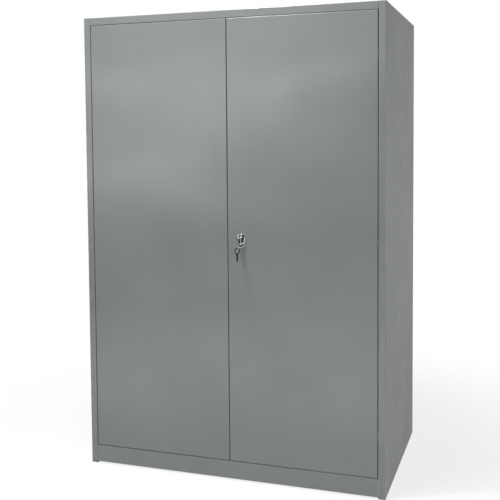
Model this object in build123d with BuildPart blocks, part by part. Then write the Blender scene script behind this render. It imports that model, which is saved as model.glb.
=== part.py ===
from build123d import *
from math import cos, hypot, radians, sin, sqrt
import os

# Tall two-door tool cabinet in folded sheet steel, in millimetres.
# X runs to the right seen from the front, Y runs from the front to the back, Z runs up.
# The origin is the middle of the base, on the floor.

# --- overall size and sheet ---
WIDTH = 1220.0
DEPTH = 762.0
HEIGHT = 1830.0
SHEET = 1.2  # thickness of every folded panel
BEND = 2.0  # radius on the path side of a fold
SEAM = 0.3  # gap left at a butted edge
EDGE_CLEARANCE = 1.0  # keeps a flat panel out of the inside radius of a fold

# --- carcass ---
POST_FACE = 27.0  # width of the front post beside a door
POST_DEPTH = 50.0
POST_RETURN = 17.0
REAR_FLANGE = 20.0
HEADER_HEIGHT = 29.5
TOP_SIDE_FLANGE = 15.0
STOP_LIP = 14.0  # lip behind the top and bottom edges of the doors
STOP_PLAY = 0.3  # between a stop lip and the corner of the door that swings past it
KICK_TOP = 76.0
KICK_CLEARANCE = 6.0  # the posts reach the floor, the kick plate stays above it
KICK_RETURN = 15.0
DECK_FLANGE = 30.0
DECK_SUPPORT_WIDTH = 60.0
DECK_SUPPORT_FLANGE = 15.0
RUNNER_LEG = 30.0
WALL_HOLE_SPACING = 800.0
WALL_HOLE_RADIUS = 4.0
WALL_HOLE_DROP = 80.0  # below the top of the cabinet

# --- doors ---
DOOR_DEPTH = 25.0
DOOR_LIP = 17.0
SIDE_GAP = 2.5
MEETING_GAP = 2.5
TOP_GAP = 1.5
BOTTOM_GAP = 2.0
CHANNEL_CREST = 68.0  # stiffening channel behind each door skin
CHANNEL_FLANGE = 13.0
CHANNEL_END_GAP = 2.0

# --- hinges ---
PIVOT_INSET = 8.0  # from the outer edge of the door to the pivot
PIVOT_SETBACK = 7.0  # from the front of the door to the pivot
PIN_RADIUS = 3.0
PIN_FIT = 0.05
PIN_HEAD_RADIUS = 4.2
PIN_HEAD = 1.5
KNUCKLE_RADIUS = 5.0
LEAF_HEIGHT = 50.0
LEAF_THICKNESS = 3.0
LEAF_BEND = 4.0
LEAF_LENGTH = 38.0  # how far behind the pivot the leaf ends
LEAF_ARM = 25.5  # rear side of the crank that passes behind the door
EAR_THICKNESS = 2.5
EAR_GAP = 0.5
BRACKET_PLATE = 2.0
BRACKET_REACH = 30.0
NOTCH_MARGIN = 2.0
HINGE_END = 150.0  # from the end of the door to the end hinge
RIVET_RADIUS = 3.5
RIVET_HEIGHT = 1.5
RIVET_TAPER = 35.0
RIVET_SPACING = 30.0

# --- shelves ---
UPRIGHT_WIDTH = 40.0
UPRIGHT_REVEAL = 1.0  # the slotted face sits this far behind the post
UPRIGHT_FRONT = 75.0  # from the cabinet front to the middle of the front upright
UPRIGHT_REAR = 75.0
UPRIGHT_TOP_GAP = 3.0
SLOT_FIRST = 150.0
SLOT_PITCH = 50.0
SLOT_COUNT = 33
SLOT_WIDTH = 14.0
SLOT_HEIGHT = 4.0
SHELF_SLOTS = (5, 12, 19, 26)  # which slot carries each shelf, counted from the lowest
SHELF_THICKNESS = 28.0
SHELF_LIP = 12.0
SHELF_SIDE_GAP = 4.0
SHELF_FRONT = 45.0  # from the cabinet front to the shelf
SHELF_REAR_GAP = 3.0
RIB_WIDTH = 60.0
RIB_DEPTH = 20.0
RIB_FLANGE = 12.0
CLIP_THICKNESS = 2.0
CLIP_WIDTH = 12.0
CLIP_LEDGE = 12.0
CLIP_HOOK = 8.0
CLIP_HOOK_REACH = 4.0

# --- three-point lock on the right door ---
LOCK_X = 53.0
LOCK_Z = 948.0
PLATE_WIDTH = 34.0
PLATE_HEIGHT = 54.0
PLATE_THICKNESS = 4.0
BARREL_RADIUS = 11.0
BARREL_LENGTH = 12.0
BARREL_FIT = 0.2
NUT_ACROSS = 30.0
NUT_THICKNESS = 6.0
SPINDLE_RADIUS = 7.0
RUNNING_FIT = 0.06
SQUARE = 8.0
SQUARE_FIT = 0.1
BUSH_RADIUS = 9.0
BUSH_FLANGE_RADIUS = 11.0
BUSH_FLANGE = 1.2
KNOB_GAP = 0.3
KNOB_RADIUS = 16.0
KNOB_BASE = 4.5
GRIP_WIDTH = 16.0
KNOB_REACH = 22.0  # from the door skin to the front of the grip
PLUG_RADIUS = 5.5
PLUG_LENGTH = 17.0
KEYWAY_WIDTH = 2.6
KEYWAY_HEIGHT = 8.6
CAM_BEHIND_DOOR = 1.5
CAM_THICKNESS = 3.0
CAM_HUB_RADIUS = 13.0
CAM_EYE_RADIUS = 6.5
CAM_THROW = 18.0  # from the spindle to each rod pin
TONGUE_LENGTH = 69.0
TONGUE_WIDTH = 14.0
STRIKE_THICKNESS = 2.0
STRIKE_HEIGHT = 80.0
SCREW_RADIUS = 2.5
SCREW_HEAD_RADIUS = 4.5
SCREW_LENGTH = 10.0
WASHER_RADIUS = 6.0
WASHER_THICKNESS = 1.0
ROD_WIDTH = 18.0
ROD_THICKNESS = 3.0
ROD_GAP = 0.5  # between the cam and the rods
ROD_END = 8.0  # metal beyond the pin slot
ROD_TIP_CLEARANCE = 2.5  # from the edge of a stop lip to a withdrawn rod
ROD_TIP_TAPER = 3.0
ROD_PIN_RADIUS = 3.0
ROD_PIN_HEAD_RADIUS = 5.0
ROD_PIN_HEAD = 1.2
SLOT_PLAY = 0.4
ARC_PLAY = 0.85  # room for the pin's arc against the rod's even travel
GUIDE_THICKNESS = 1.5
GUIDE_HEIGHT = 14.0
GUIDE_FOOT = 7.0
GUIDE_PLAY = 0.4
GUIDE_NEAR = 100.0  # from the lock to the nearer guide of a rod
GUIDE_END = 55.0  # from the end of the door to the outer guide
DECK_NOTCH_PLAY = 2.0
BUFFER_RADIUS = 4.0
BUFFER_GAP = 0.3
BUFFER_PLACES = (120.0, 460.0)  # from the middle of the cabinet

# --- keys ---
BOW_RADIUS = 12.0
BOW_HOLE_RADIUS = 8.0
KEY_THICKNESS = 2.2
BLADE_WIDTH = 8.0
BLADE_LENGTH = 27.0
BLADE_IN_PLUG = 16.5
BITTING = (1.4, 2.4, 1.0, 2.0)  # depth of each cut
BITTING_PITCH = 4.0
RING_RADIUS = 11.0
RING_WIRE = 0.9
RING_HANG = 7.6  # from the middle of the bow's rim to the middle of the ring
RING_TURN = 40.0  # the ring hangs turned this far out of the plane of the doors
SPARE_HANG = 6.6

# --- derived places ---
FRONT = -DEPTH / 2
BACK = DEPTH / 2
OPENING_HALF = WIDTH / 2 - POST_FACE
WEB_INSIDE = WIDTH / 2 - SHEET
RAIL_HALF = OPENING_HALF - SEAM
HEADER_BOTTOM = HEIGHT - HEADER_HEIGHT
DOOR_REAR = FRONT + DOOR_DEPTH
CORNER_SWING = hypot(PIVOT_INSET, DOOR_DEPTH - PIVOT_SETBACK)  # pivot to the rear outer corner
STOP_FACE = FRONT + PIVOT_SETBACK + CORNER_SWING + STOP_PLAY
BUFFER_THICKNESS = STOP_FACE - DOOR_REAR - BUFFER_GAP
DOOR_INNER = MEETING_GAP / 2
DOOR_OUTER = OPENING_HALF - SIDE_GAP
DOOR_WIDTH = DOOR_OUTER - DOOR_INNER
DOOR_BOTTOM = KICK_TOP + BOTTOM_GAP
DOOR_TOP = HEADER_BOTTOM - TOP_GAP
DOOR_HEIGHT = DOOR_TOP - DOOR_BOTTOM
PIVOT_X = DOOR_OUTER - PIVOT_INSET
PIVOT_Y = FRONT + PIVOT_SETBACK
HINGE_HEIGHTS = (DOOR_BOTTOM + HINGE_END, (DOOR_BOTTOM + DOOR_TOP) / 2, DOOR_TOP - HINGE_END)
UPRIGHT_FACE = OPENING_HALF + UPRIGHT_REVEAL
UPRIGHT_TOP = HEIGHT - TOP_SIDE_FLANGE - UPRIGHT_TOP_GAP
UPRIGHT_PLACES = {"front": FRONT + UPRIGHT_FRONT, "rear": BACK - UPRIGHT_REAR}
BACK_FACE = BACK - 2 * SHEET  # inner face of the back panel
SHELF_HALF = UPRIGHT_FACE - SHELF_SIDE_GAP
SHELF_Y0 = FRONT + SHELF_FRONT
SHELF_Y1 = BACK_FACE - SHELF_REAR_GAP
SHELF_SUPPORTS = [SLOT_FIRST + SLOT_PITCH * slot for slot in SHELF_SLOTS]
CAM_FRONT = DOOR_REAR + CAM_BEHIND_DOOR
CAM_REAR = CAM_FRONT + CAM_THICKNESS
ROD_FRONT = CAM_REAR + ROD_GAP
ROD_REAR = ROD_FRONT + ROD_THICKNESS
PIN_OFFSET = CAM_THROW / sqrt(2)  # sideways and upward offset of a rod pin at rest
ROD_OFFSET = (CAM_THROW + PIN_OFFSET) / 2  # the pin swings evenly about the rod's middle
ROD_TRAVEL = 2 * PIN_OFFSET
LOWER_ROD_X = LOCK_X + ROD_OFFSET
UPPER_ROD_X = LOCK_X - ROD_OFFSET
ROD_SLOT_WIDTH = 2 * (CAM_THROW - ROD_OFFSET + ROD_PIN_RADIUS + SLOT_PLAY)
ROD_SLOT_HEIGHT = 2 * (ROD_PIN_RADIUS + ARC_PLAY)
BOW_Y = FRONT - KNOB_REACH - (BLADE_LENGTH - BLADE_IN_PLUG) - BOW_RADIUS
RIM_MIDDLE = (BOW_RADIUS + BOW_HOLE_RADIUS) / 2
RING_Z = LOCK_Z - RIM_MIDDLE - RING_HANG
SPARE_PIVOT_Z = RING_Z - RING_RADIUS


def facing(y):
    """Upright plane at depth y: its x is X, its y is Z, and it faces the front."""
    return Plane.XZ.offset(-y)


def folded(plane, points, side, bend=BEND, thickness=SHEET):
    """Section of one bent sheet: a path with rounded folds, thickened to one side."""
    with BuildSketch(plane) as section:
        with BuildLine():
            FilletPolyline(*points, radius=bend)
            offset(amount=thickness, side=side)
        make_face()
    return section.sketch


def block(x0, x1, y0, y1, z0, z1, mode=Mode.ADD):
    """Box between two corners."""
    with Locations(((x0 + x1) / 2, (y0 + y1) / 2, (z0 + z1) / 2)):
        Box(x1 - x0, y1 - y0, z1 - z0, mode=mode)


def keep(piece, label):
    """Names a finished piece and writes its STEP file."""
    piece.label = label
    export_step(piece, f"parts/{label}.step")


def keep_mirrored(piece, label):
    """Writes the same piece for the other side of the cabinet."""
    with BuildPart() as other_side:
        mirror(piece, about=Plane.YZ)
    keep(other_side.part, label)


# --- carcass ---
def make_side_panel():
    """Right side: one sheet folded into the front post, the side and the rear flange."""
    section = folded(
        Plane.XY,
        [
            (WIDTH / 2 - REAR_FLANGE, BACK),
            (WIDTH / 2, BACK),
            (WIDTH / 2, FRONT),
            (OPENING_HALF, FRONT),
            (OPENING_HALF, FRONT + POST_DEPTH),
            (OPENING_HALF + POST_RETURN, FRONT + POST_DEPTH),
        ],
        Side.RIGHT,
    )
    with BuildPart() as side_panel:
        extrude(section, amount=HEIGHT)
        # the top sheet drops in behind the front and rear folds
        block(OPENING_HALF - 1, WEB_INSIDE, FRONT + BEND, BACK - BEND, HEIGHT - SHEET, HEIGHT,
              mode=Mode.SUBTRACT)
    return side_panel.part


def make_top_panel():
    """Top sheet with the header, its door stop lip and the rear flange in one fold."""
    section = folded(
        Plane.YZ,
        [
            (STOP_FACE, HEADER_BOTTOM - STOP_LIP),
            (STOP_FACE, HEADER_BOTTOM),
            (FRONT, HEADER_BOTTOM),
            (FRONT, HEIGHT),
            (BACK, HEIGHT),
            (BACK, HEIGHT - REAR_FLANGE),
        ],
        Side.RIGHT,
    )
    flange_front = FRONT + POST_DEPTH + SEAM
    flange_rear = BACK - REAR_FLANGE
    with BuildPart() as top_panel:
        extrude(section, amount=RAIL_HALF, both=True)
        for side in (-1, 1):
            edges = sorted((side * RAIL_HALF, side * WEB_INSIDE))
            block(*edges, FRONT + BEND, BACK - BEND, HEIGHT - SHEET, HEIGHT)
            flange = sorted((side * (WEB_INSIDE - SHEET), side * WEB_INSIDE))
            block(*flange, flange_front, flange_rear, HEIGHT - TOP_SIDE_FLANGE, HEIGHT)
    return top_panel.part


def make_kick_plate():
    """Kick plate with the lower door stop lip."""
    section = folded(
        Plane.YZ,
        [
            (FRONT + KICK_RETURN, KICK_CLEARANCE),
            (FRONT, KICK_CLEARANCE),
            (FRONT, KICK_TOP),
            (STOP_FACE, KICK_TOP),
            (STOP_FACE, KICK_TOP + STOP_LIP),
        ],
        Side.RIGHT,
    )
    with BuildPart() as kick_plate:
        extrude(section, amount=RAIL_HALF, both=True)
    return kick_plate.part


def make_back_panel():
    """Flat back sheet in front of the rear flanges, with two wall-fixing holes."""
    half = WEB_INSIDE - EDGE_CLEARANCE
    with BuildPart() as back_panel:
        block(-half, half, BACK_FACE, BACK_FACE + SHEET, KICK_CLEARANCE,
              HEIGHT - SHEET - EDGE_CLEARANCE)
        with BuildSketch(facing(BACK_FACE)):
            with Locations((0, HEIGHT - WALL_HOLE_DROP)):
                with GridLocations(WALL_HOLE_SPACING, 1, 2, 1):
                    Circle(WALL_HOLE_RADIUS)
        extrude(amount=-SHEET, mode=Mode.SUBTRACT)
    return back_panel.part


def make_deck():
    """Floor of the cabinet, turned down at the sides and the back, notched for the lower rod."""
    wide = WEB_INSIDE - EDGE_CLEARANCE
    front_edge = STOP_FACE + SHEET + SEAM
    behind_post = FRONT + POST_DEPTH + SEAM
    rear_edge = BACK_FACE - SEAM
    top = KICK_TOP
    notch_front = front_edge - ROD_WIDTH
    notch_rear = ROD_REAR + DECK_NOTCH_PLAY
    with BuildPart() as deck:
        block(-RAIL_HALF, RAIL_HALF, front_edge, behind_post, top - SHEET, top)
        block(-wide, wide, behind_post, rear_edge, top - SHEET, top)
        block(-wide, wide, rear_edge - SHEET, rear_edge, top - DECK_FLANGE, top)
        for side in (-1, 1):
            edges = sorted((side * (wide - SHEET), side * wide))
            block(*edges, behind_post, rear_edge, top - DECK_FLANGE, top)
        with BuildSketch(Plane.XY.offset(top)):
            with Locations((LOWER_ROD_X, (notch_front + notch_rear) / 2)):
                RectangleRounded(ROD_WIDTH + 2 * DECK_NOTCH_PLAY, notch_rear - notch_front,
                                 radius=DECK_NOTCH_PLAY)
        extrude(amount=-SHEET, mode=Mode.SUBTRACT)
    return deck.part


def make_deck_support():
    """Channel under the middle of the deck, standing on the floor."""
    half = DECK_SUPPORT_WIDTH / 2
    flange = KICK_TOP - 2 * SHEET
    section = folded(
        Plane.YZ,
        [
            (-half - DECK_SUPPORT_FLANGE, flange),
            (-half, flange),
            (-half, 0),
            (half, 0),
            (half, flange),
            (half + DECK_SUPPORT_FLANGE, flange),
        ],
        Side.LEFT,
    )
    reach = WEB_INSIDE - RUNNER_LEG - SEAM
    with BuildPart() as deck_support:
        extrude(section, amount=reach, both=True)
    return deck_support.part


def make_base_runner():
    """Right base runner: an angle that gives the side a foot along the floor."""
    rear = BACK - REAR_FLANGE - EDGE_CLEARANCE
    front = FRONT + POST_DEPTH + EDGE_CLEARANCE
    section = folded(
        facing(rear),
        [(WEB_INSIDE - RUNNER_LEG, 0), (WEB_INSIDE, 0), (WEB_INSIDE, RUNNER_LEG)],
        Side.LEFT,
    )
    with BuildPart() as base_runner:
        extrude(section, amount=rear - front)
    return base_runner.part


# --- shelves ---
def make_upright(y_middle):
    """Slotted shelf upright on the right side."""
    half = UPRIGHT_WIDTH / 2
    section = folded(
        Plane.XY.offset(KICK_TOP),
        [
            (WEB_INSIDE, y_middle + half),
            (UPRIGHT_FACE, y_middle + half),
            (UPRIGHT_FACE, y_middle - half),
            (WEB_INSIDE, y_middle - half),
        ],
        Side.LEFT,
    )
    lowest = SLOT_FIRST - CLIP_THICKNESS + SLOT_HEIGHT / 2
    slots_middle = lowest + SLOT_PITCH * (SLOT_COUNT - 1) / 2
    with BuildPart() as upright:
        extrude(section, amount=UPRIGHT_TOP - KICK_TOP)
        with BuildSketch(Plane.YZ.offset(UPRIGHT_FACE)):
            with Locations((y_middle, slots_middle)):
                with GridLocations(1, SLOT_PITCH, 1, SLOT_COUNT):
                    Rectangle(SLOT_WIDTH, SLOT_HEIGHT)
        extrude(amount=SHEET, mode=Mode.SUBTRACT)
    return upright.part


def make_shelf(support):
    """Shelf: a shallow folded tray turned upside down, resting at height support."""
    top = support + SHELF_THICKNESS
    inside = SHELF_HALF - SHEET
    mouth = SHELF_HALF - SHELF_LIP
    with BuildPart() as shelf:
        block(-SHELF_HALF, SHELF_HALF, SHELF_Y0, SHELF_Y1, support, top)
        fillet(shelf.faces().sort_by(Axis.Z)[-1].edges(), BEND)
        block(-inside, inside, SHELF_Y0 + SHEET, SHELF_Y1 - SHEET, support + SHEET, top - SHEET,
              mode=Mode.SUBTRACT)
        block(-mouth, mouth, SHELF_Y0 + SHELF_LIP, SHELF_Y1 - SHELF_LIP, support,
              support + SHEET, mode=Mode.SUBTRACT)
    return shelf.part


def make_shelf_ribs():
    """One stiffening rib under the middle of each shelf."""
    y_middle = (SHELF_Y0 + SHELF_Y1) / 2
    half = RIB_WIDTH / 2
    reach = SHELF_HALF - SHEET - SEAM
    with BuildPart() as shelf_ribs:
        for support in SHELF_SUPPORTS:
            under = support + SHELF_THICKNESS - SHEET
            section = folded(
                Plane.YZ,
                [
                    (y_middle - half - RIB_FLANGE, under),
                    (y_middle - half, under),
                    (y_middle - half, under - RIB_DEPTH),
                    (y_middle + half, under - RIB_DEPTH),
                    (y_middle + half, under),
                    (y_middle + half + RIB_FLANGE, under),
                ],
                Side.RIGHT,
            )
            extrude(section, amount=reach, both=True)
    return shelf_ribs.part


def make_shelf_clips():
    """Four hooked clips for each shelf, through the slots of the uprights."""
    half = CLIP_WIDTH / 2
    behind = UPRIGHT_FACE + SHEET
    with BuildPart() as shelf_clips:
        for support in SHELF_SUPPORTS:
            for y_middle in UPRIGHT_PLACES.values():
                section = folded(
                    facing(y_middle + half),
                    [
                        (UPRIGHT_FACE - CLIP_LEDGE - SHELF_SIDE_GAP, support),
                        (behind + CLIP_HOOK_REACH, support),
                        (behind + CLIP_HOOK_REACH, support - CLIP_HOOK),
                    ],
                    Side.RIGHT,
                    bend=CLIP_THICKNESS + SEAM,
                    thickness=CLIP_THICKNESS,
                )
                extrude(section, amount=CLIP_WIDTH)
                block(UPRIGHT_FACE - CLIP_THICKNESS, UPRIGHT_FACE, y_middle - half,
                      y_middle + half, support - CLIP_LEDGE, support - CLIP_THICKNESS)
        mirror(about=Plane.YZ)
    return shelf_clips.part


# --- hinges ---
def make_hinge_leaves():
    """Cranked frame leaves of the right door, with the knuckle around the pivot."""
    left = -KNUCKLE_RADIUS
    jamb = SIDE_GAP + PIVOT_INSET - LEAF_THICKNESS
    path = [(left, 0), (left, LEAF_ARM), (jamb, LEAF_ARM), (jamb, LEAF_LENGTH)]
    with BuildPart() as hinge_leaves:
        for height in HINGE_HEIGHTS:
            base = Plane((PIVOT_X, PIVOT_Y, height - LEAF_HEIGHT / 2))
            crank = folded(base, path, Side.RIGHT, bend=LEAF_BEND, thickness=LEAF_THICKNESS)
            extrude(crank, amount=LEAF_HEIGHT)
            with BuildSketch(base):
                Circle(KNUCKLE_RADIUS)
            extrude(amount=LEAF_HEIGHT)
            with BuildSketch(base):
                Circle(PIN_RADIUS + PIN_FIT)
            extrude(amount=LEAF_HEIGHT, mode=Mode.SUBTRACT)
    return hinge_leaves.part


def make_hinge_rivets():
    """Rivet heads that hold the right leaves to the post."""
    face = PIVOT_X + SIDE_GAP + PIVOT_INSET - LEAF_THICKNESS
    y_middle = PIVOT_Y + (LEAF_ARM + LEAF_BEND / 2 + LEAF_LENGTH) / 2
    with BuildPart() as hinge_rivets:
        for height in HINGE_HEIGHTS:
            with BuildSketch(Plane.YZ.offset(face)):
                with Locations((y_middle, height)):
                    with GridLocations(1, RIVET_SPACING, 1, 2):
                        Circle(RIVET_RADIUS)
            extrude(amount=-RIVET_HEIGHT, taper=RIVET_TAPER)
    return hinge_rivets.part


def make_hinge_brackets():
    """Door brackets of the right door: a plate on the skin with an ear each side of the knuckle."""
    skin = SHEET - PIVOT_SETBACK
    ear = LEAF_HEIGHT / 2 + EAR_GAP
    with BuildPart() as hinge_brackets:
        for height in HINGE_HEIGHTS:
            for base in (height - ear - EAR_THICKNESS, height + ear):
                with BuildSketch(Plane((PIVOT_X, PIVOT_Y, base))):
                    with Locations(((KNUCKLE_RADIUS - BRACKET_REACH) / 2 - KNUCKLE_RADIUS / 2,
                                    (skin + KNUCKLE_RADIUS) / 2)):
                        Rectangle(BRACKET_REACH - KNUCKLE_RADIUS, KNUCKLE_RADIUS - skin)
                    Circle(KNUCKLE_RADIUS)
                    with Locations((-KNUCKLE_RADIUS / 2, skin / 2)):
                        Rectangle(KNUCKLE_RADIUS, -skin)
                    Circle(PIN_RADIUS + PIN_FIT, mode=Mode.SUBTRACT)
                extrude(amount=EAR_THICKNESS)
            block(PIVOT_X - BRACKET_REACH, PIVOT_X - KNUCKLE_RADIUS - 1.5, PIVOT_Y + skin,
                  PIVOT_Y + skin + BRACKET_PLATE, height - ear - EAR_THICKNESS,
                  height + ear + EAR_THICKNESS)
    return hinge_brackets.part


def make_hinge_pins():
    """Headed pins of the right door."""
    reach = LEAF_HEIGHT / 2 + EAR_GAP + EAR_THICKNESS
    with BuildPart() as hinge_pins:
        for height in HINGE_HEIGHTS:
            with BuildSketch(Plane((PIVOT_X, PIVOT_Y, height - reach - PIN_HEAD))):
                Circle(PIN_RADIUS)
            extrude(amount=2 * reach + PIN_HEAD)
            with BuildSketch(Plane((PIVOT_X, PIVOT_Y, height + reach))):
                Circle(PIN_HEAD_RADIUS)
            extrude(amount=PIN_HEAD)
    return hinge_pins.part


# --- doors ---
def make_door():
    """Right door: a folded pan with return lips, notched for the hinge leaves."""
    with BuildPart() as door:
        block(DOOR_INNER, DOOR_OUTER, FRONT, DOOR_REAR, DOOR_BOTTOM, DOOR_TOP)
        fillet(door.faces().sort_by(Axis.Y)[0].edges(), BEND)
        block(DOOR_INNER + SHEET, DOOR_OUTER - SHEET, FRONT + SHEET, DOOR_REAR - SHEET,
              DOOR_BOTTOM + SHEET, DOOR_TOP - SHEET, mode=Mode.SUBTRACT)
        block(DOOR_INNER + DOOR_LIP, DOOR_OUTER - DOOR_LIP, DOOR_REAR - SHEET, DOOR_REAR,
              DOOR_BOTTOM + DOOR_LIP, DOOR_TOP - DOOR_LIP, mode=Mode.SUBTRACT)
        notch = LEAF_HEIGHT / 2 + NOTCH_MARGIN
        for height in HINGE_HEIGHTS:
            block(PIVOT_X - KNUCKLE_RADIUS - LEAF_THICKNESS - 1, DOOR_OUTER + 1, FRONT + BEND,
                  DOOR_REAR + 1, height - notch, height + notch, mode=Mode.SUBTRACT)
    return door.part


def make_lock_door(door):
    """Right door with the hole for the lock barrel."""
    with BuildPart() as lock_door:
        add(door)
        with BuildSketch(facing(FRONT)):
            with Locations((LOCK_X, LOCK_Z)):
                Circle(BARREL_RADIUS + BARREL_FIT)
        extrude(amount=-SHEET, mode=Mode.SUBTRACT)
    return lock_door.part


def make_door_channel():
    """Stiffening channel behind the skin of the right door, beside its free edge."""
    low = DOOR_BOTTOM + DOOR_LIP + CHANNEL_END_GAP
    high = DOOR_TOP - DOOR_LIP - CHANNEL_END_GAP
    half = CHANNEL_CREST / 2
    foot = FRONT + 2 * SHEET
    section = folded(
        Plane.XY.offset(low),
        [
            (LOCK_X - half - CHANNEL_FLANGE, foot),
            (LOCK_X - half, foot),
            (LOCK_X - half, DOOR_REAR),
            (LOCK_X + half, DOOR_REAR),
            (LOCK_X + half, foot),
            (LOCK_X + half + CHANNEL_FLANGE, foot),
        ],
        Side.RIGHT,
    )
    with BuildPart() as door_channel:
        extrude(section, amount=high - low)
    return door_channel.part


def make_lock_channel(channel):
    """The right door's channel, bored for the spindle bush."""
    with BuildPart() as lock_channel:
        add(channel)
        with BuildSketch(facing(DOOR_REAR - SHEET)):
            with Locations((LOCK_X, LOCK_Z)):
                Circle(BUSH_RADIUS + RUNNING_FIT)
        extrude(amount=-SHEET, mode=Mode.SUBTRACT)
    return lock_channel.part


def make_latch_strike():
    """Plate inside the left door's lip, where the tongue of the cam bears."""
    outer = DOOR_INNER + DOOR_LIP
    inner = DOOR_INNER + SHEET
    with BuildPart() as latch_strike:
        block(-outer, -inner, DOOR_REAR - SHEET - STRIKE_THICKNESS, DOOR_REAR - SHEET,
              LOCK_Z - STRIKE_HEIGHT / 2, LOCK_Z + STRIKE_HEIGHT / 2)
    return latch_strike.part


def make_door_buffers():
    """Rubber buffers on the stop lips, behind the corners of both doors."""
    heights = (HEADER_BOTTOM - STOP_LIP / 2, KICK_TOP + STOP_LIP / 2)
    with BuildPart() as door_buffers:
        with BuildSketch(facing(STOP_FACE)):
            for height in heights:
                for place in BUFFER_PLACES:
                    with Locations((place, height), (-place, height)):
                        Circle(BUFFER_RADIUS)
        extrude(amount=BUFFER_THICKNESS)
    return door_buffers.part


# --- lock ---
def make_lock_housing():
    """Oval plate on the door skin, with the barrel that carries the spindle."""
    with BuildPart() as lock_housing:
        with BuildSketch(facing(FRONT)):
            with Locations((LOCK_X, LOCK_Z)):
                SlotOverall(PLATE_HEIGHT, PLATE_WIDTH, rotation=90)
        extrude(amount=PLATE_THICKNESS)
        fillet(lock_housing.faces().sort_by(Axis.Y)[0].edges(), PLATE_THICKNESS * 0.6)
        with BuildSketch(facing(FRONT)):
            with Locations((LOCK_X, LOCK_Z)):
                Circle(BARREL_RADIUS)
        extrude(amount=-BARREL_LENGTH)
        with BuildSketch(facing(FRONT + BARREL_LENGTH)):
            with Locations((LOCK_X, LOCK_Z)):
                Circle(SPINDLE_RADIUS + RUNNING_FIT)
        extrude(amount=BARREL_LENGTH + PLATE_THICKNESS, mode=Mode.SUBTRACT)
    return lock_housing.part


def make_lock_nut():
    """Hexagon nut that clamps the housing to the door skin."""
    with BuildPart() as lock_nut:
        with BuildSketch(facing(FRONT + SHEET)):
            with Locations((LOCK_X, LOCK_Z)):
                RegularPolygon(NUT_ACROSS / 2, 6, major_radius=False)
                Circle(BARREL_RADIUS + PIN_FIT, mode=Mode.SUBTRACT)
        extrude(amount=-NUT_THICKNESS)
    return lock_nut.part


def make_spindle_bush():
    """Flanged nylon bush for the rear of the spindle."""
    with BuildPart() as spindle_bush:
        with BuildSketch(facing(DOOR_REAR - SHEET)):
            with Locations((LOCK_X, LOCK_Z)):
                Circle(BUSH_RADIUS)
        extrude(amount=-SHEET)
        with BuildSketch(facing(DOOR_REAR)):
            with Locations((LOCK_X, LOCK_Z)):
                Circle(BUSH_FLANGE_RADIUS)
        extrude(amount=-BUSH_FLANGE)
        with BuildSketch(facing(DOOR_REAR - SHEET)):
            with Locations((LOCK_X, LOCK_Z)):
                Circle(SPINDLE_RADIUS + RUNNING_FIT)
        extrude(amount=-(SHEET + BUSH_FLANGE), mode=Mode.SUBTRACT)
    return spindle_bush.part


def make_lock_handle():
    """Turn knob with an upright grip, bored for the plug, on its spindle."""
    knob_back = FRONT - PLATE_THICKNESS - KNOB_GAP
    knob_front = FRONT - KNOB_REACH
    grip_depth = knob_back - KNOB_BASE - knob_front
    shoulder = CAM_FRONT - KNOB_GAP
    with BuildPart() as lock_handle:
        with BuildSketch(facing(knob_back)):
            with Locations((LOCK_X, LOCK_Z)):
                Circle(KNOB_RADIUS)
        extrude(amount=KNOB_BASE)
        fillet(lock_handle.faces().sort_by(Axis.Y)[0].edges(), KNOB_BASE * 0.4)
        with BuildSketch(facing(knob_back - KNOB_BASE)):
            with Locations((LOCK_X, LOCK_Z)):
                SlotOverall(2 * KNOB_RADIUS - KNOB_BASE, GRIP_WIDTH, rotation=90)
        extrude(amount=grip_depth, taper=3)
        fillet(lock_handle.faces().sort_by(Axis.Y)[0].edges(), KNOB_BASE * 0.4)
        with BuildSketch(facing(knob_back)):
            with Locations((LOCK_X, LOCK_Z)):
                Circle(SPINDLE_RADIUS)
        extrude(amount=-(shoulder - knob_back))
        with BuildSketch(facing(shoulder)):
            with Locations((LOCK_X, LOCK_Z)):
                Rectangle(SQUARE, SQUARE)
        extrude(amount=-(CAM_REAR - shoulder))
        with BuildSketch(facing(knob_front)):
            with Locations((LOCK_X, LOCK_Z)):
                Circle(PLUG_RADIUS + PIN_FIT)
        extrude(amount=-(PLUG_LENGTH + KNOB_GAP), mode=Mode.SUBTRACT)
        with BuildSketch(facing(CAM_REAR)):
            with Locations((LOCK_X, LOCK_Z)):
                Circle(SCREW_RADIUS + PIN_FIT)
        extrude(amount=SCREW_LENGTH, mode=Mode.SUBTRACT)
    return lock_handle.part


def make_latch_cam():
    """Cam plate: two eyes for the rods and the tongue that catches the left door."""
    with BuildPart() as latch_cam:
        with BuildSketch(facing(CAM_REAR)):
            with Locations((LOCK_X, LOCK_Z)):
                Circle(CAM_HUB_RADIUS)
            with Locations((LOCK_X - PIN_OFFSET, LOCK_Z - PIN_OFFSET),
                           (LOCK_X + PIN_OFFSET, LOCK_Z + PIN_OFFSET)):
                Circle(CAM_EYE_RADIUS)
            make_hull()
        extrude(amount=CAM_THICKNESS)
        with BuildSketch(facing(CAM_REAR)):
            with Locations((LOCK_X, LOCK_Z - TONGUE_LENGTH / 2)):
                RectangleRounded(TONGUE_WIDTH, TONGUE_LENGTH, radius=TONGUE_WIDTH * 0.4)
        extrude(amount=CAM_THICKNESS)
        with BuildSketch(facing(CAM_REAR)):
            with Locations((LOCK_X, LOCK_Z)):
                Rectangle(SQUARE + 2 * SQUARE_FIT, SQUARE + 2 * SQUARE_FIT)
        extrude(amount=CAM_THICKNESS, mode=Mode.SUBTRACT)
    return latch_cam.part


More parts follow.
